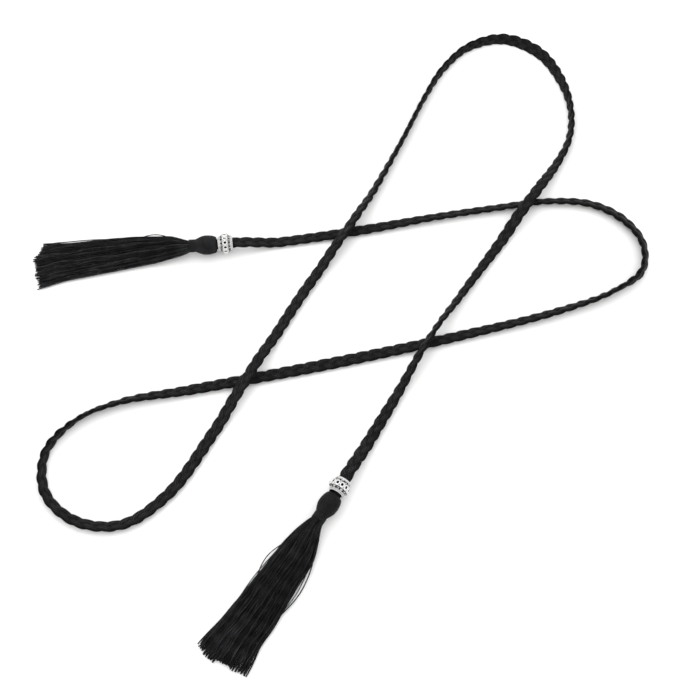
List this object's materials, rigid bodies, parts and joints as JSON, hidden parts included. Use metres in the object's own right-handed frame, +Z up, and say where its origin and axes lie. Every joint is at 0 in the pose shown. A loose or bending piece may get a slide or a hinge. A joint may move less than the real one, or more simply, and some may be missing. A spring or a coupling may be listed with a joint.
{
  "type": "braided belt",
  "caption": "Braided tie belt of black cord laid flat in open crossing loops, each end running through a silver openwork bead into a tassel with a round head and a fanned skirt.",
  "frame": {"origin": "on the surface that the belt lies on, under the middle of its bounding box", "axes": "+Z up from the surface, +Y towards the far side of the laid belt, along its longest extent, +X to the right, so that the left tassel points to -X and the lower tassel to -X and -Y"},
  "size_m": [0.3674, 0.4156, 0.0128],
  "materials": {
    "braid": "satin",
    "thread": "satin",
    "tie_thread": "satin",
    "silver": "antiqued"
  },
  "bodies": {
    "root": {"braided_cord": "braid", "bead_left": "silver", "bead_lower": "silver", "tassel_left": "thread", "tassel_lower": "thread", "neck_tie_left": "tie_thread", "neck_tie_lower": "tie_thread"}
  },
  "joints": []
}
